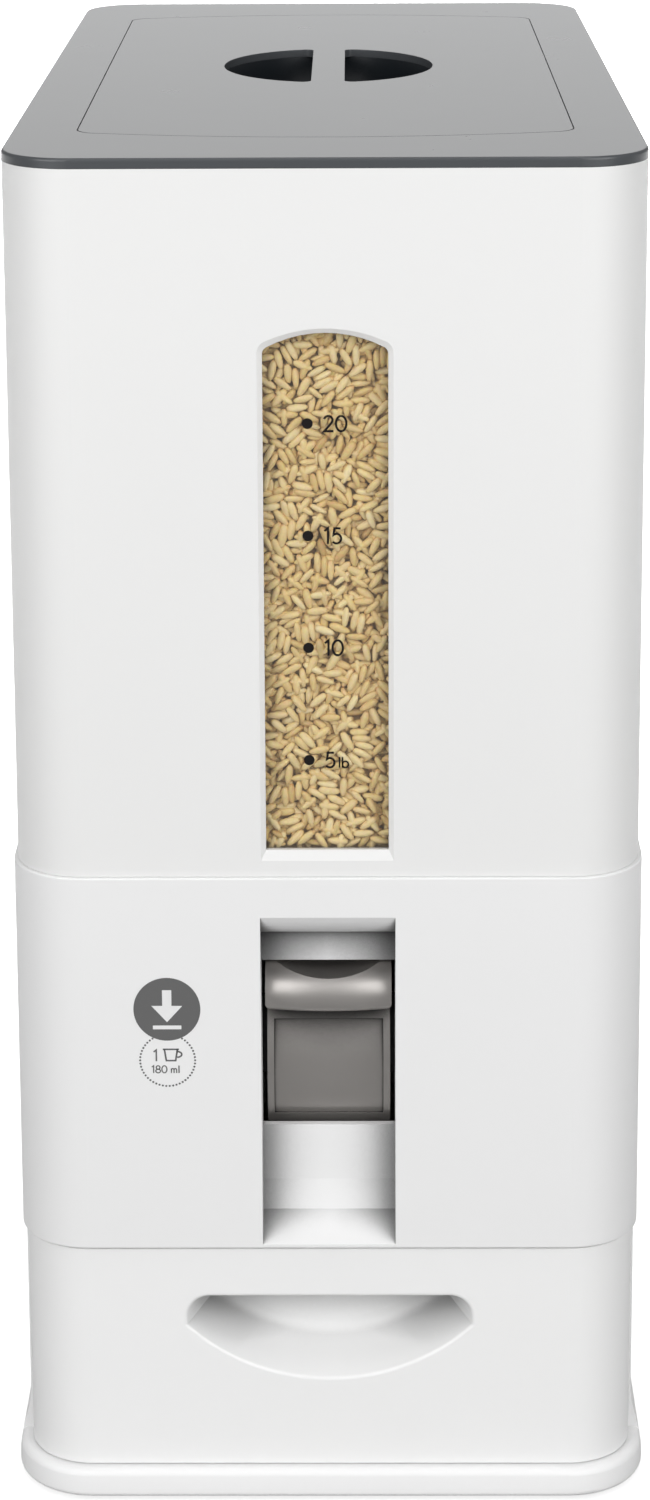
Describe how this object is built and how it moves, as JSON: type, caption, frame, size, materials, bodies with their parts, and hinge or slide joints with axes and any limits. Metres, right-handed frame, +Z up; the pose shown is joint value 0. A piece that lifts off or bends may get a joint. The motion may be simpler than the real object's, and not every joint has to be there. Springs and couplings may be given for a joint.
{
  "type": "rice dispenser",
  "caption": "Tall white rice dispenser: lidded storage bin with a window, press lever measuring unit and pull-out drawer.",
  "frame": {"origin": "on the floor plane, at the centre of the footprint", "axes": "+Z up, -Y out of the front with the lever and drawer, +X to the right seen from the front's back"},
  "size_m": [0.21, 0.41, 0.4502],
  "materials": {
    "white_shell": "fine satin white moulding",
    "drawer_white": "fine satin white moulding",
    "grey_cover": "fine matt grey moulding",
    "dark_liner": "smooth dark grey moulding",
    "lever_grey": "satin warm grey moulding",
    "inner_plastic": "plain dark moulding",
    "chamber_plastic": "plain light grey moulding",
    "clear_pane": "clear polished plastic",
    "silicone": "soft grey silicone",
    "foot_rubber": "matt black rubber",
    "steel": "bright zinc plated steel"
  },
  "bodies": {
    "cabinet": {"base_frame": "white_shell", "rubber_feet": "foot_rubber", "base_screws": "steel", "dispenser_housing": "white_shell", "housing_screws": "steel", "outlet_chute": "inner_plastic", "measuring_chamber": "chamber_plastic", "chamber_screws": "steel", "pivot_pins": "steel", "return_springs": "steel", "storage_bin": "white_shell", "window_gasket": "silicone", "window_pane": "clear_pane", "top_frame": "grey_cover", "top_frame_seal": "silicone"},
    "drawer": {"drawer_front": "drawer_white", "drawer_box": "drawer_white", "drawer_screws": "steel"},
    "lever": {"gate_rotor": "inner_plastic", "press_lever": "lever_grey"},
    "lid": {"lid_cover": "grey_cover", "lid_liner": "dark_liner", "lid_seal": "silicone"}
  },
  "joints": [
    {"name": "drawer_slide", "type": "slide", "parent": "cabinet", "child": "drawer", "axis": [0, -1, 0], "range_m": [0, 0.3]},
    {"name": "lever_press", "type": "hinge", "parent": "cabinet", "child": "lever", "pos_m": [0, -0.138, 0.146], "axis": [1, 0, 0], "range_deg": [0, 36], "stiffness_Nm_per_rad": 0.4, "springref_deg": -20.05, "deforming": ["return_springs"]},
    {"name": "lid_lift", "type": "slide", "parent": "cabinet", "child": "lid", "axis": [0, 0, 1], "range_m": [0, 0.15]}
  ]
}
